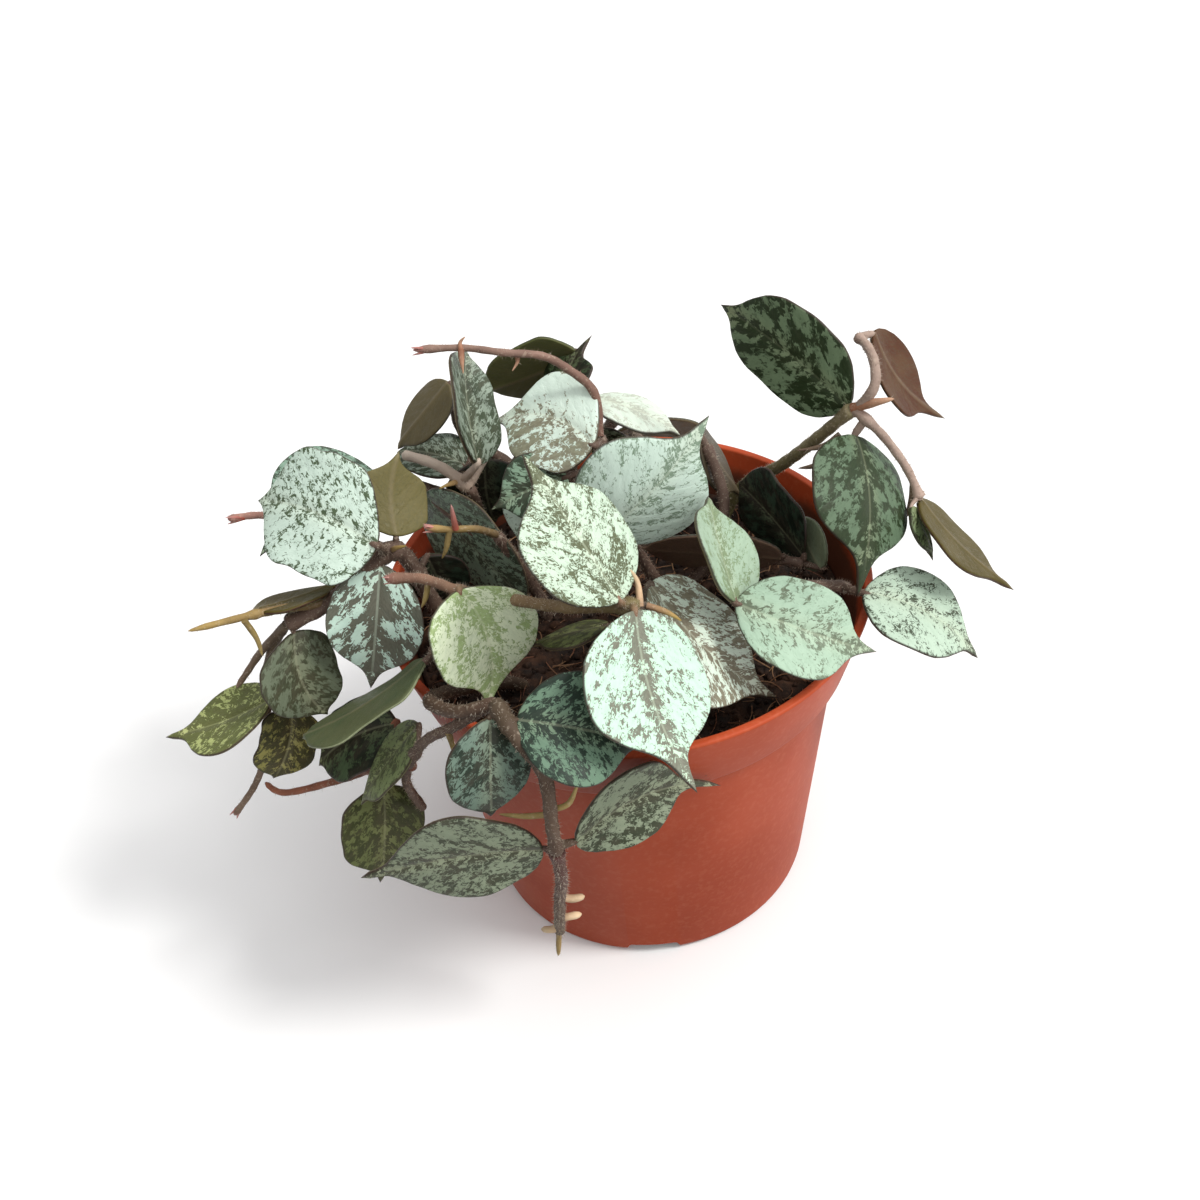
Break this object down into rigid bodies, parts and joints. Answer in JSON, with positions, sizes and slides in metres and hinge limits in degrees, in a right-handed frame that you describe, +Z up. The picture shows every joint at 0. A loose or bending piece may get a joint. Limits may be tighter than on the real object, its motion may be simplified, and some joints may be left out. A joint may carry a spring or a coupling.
{
  "type": "potted hoya plant",
  "caption": "Potted climbing plant: twining leafy stems with small pointed, silver-speckled leaves spill over the rim of a tapered plastic nursery pot filled with soil.",
  "frame": {"origin": "the middle of the pot's underside, on the surface that the pot stands on", "axes": "+Z up, +X to the right and +Y away from the viewer of the front"},
  "size_m": [0.1463, 0.1098, 0.1096],
  "materials": {
    "terracotta_plastic": "satin moulded terracotta-coloured plastic",
    "potting_soil": "dark crumbly potting soil with coir fibres",
    "leafy_stem": "waxy silver-mint leaves with dark green flecks, on brown stems"
  },
  "bodies": {
    "root": {"pot": "terracotta_plastic", "soil": "potting_soil", "shoot_right_top": "leafy_stem", "shoot_right_front": "leafy_stem", "shoot_front": "leafy_stem", "shoot_hanging_front": "leafy_stem", "shoot_low_left": "leafy_stem", "shoot_left": "leafy_stem", "shoot_middle": "leafy_stem", "shoot_top": "leafy_stem", "shoot_centre": "leafy_stem", "shoot_back_left": "leafy_stem", "shoot_back": "leafy_stem", "shoot_rear": "leafy_stem"}
  },
  "joints": []
}
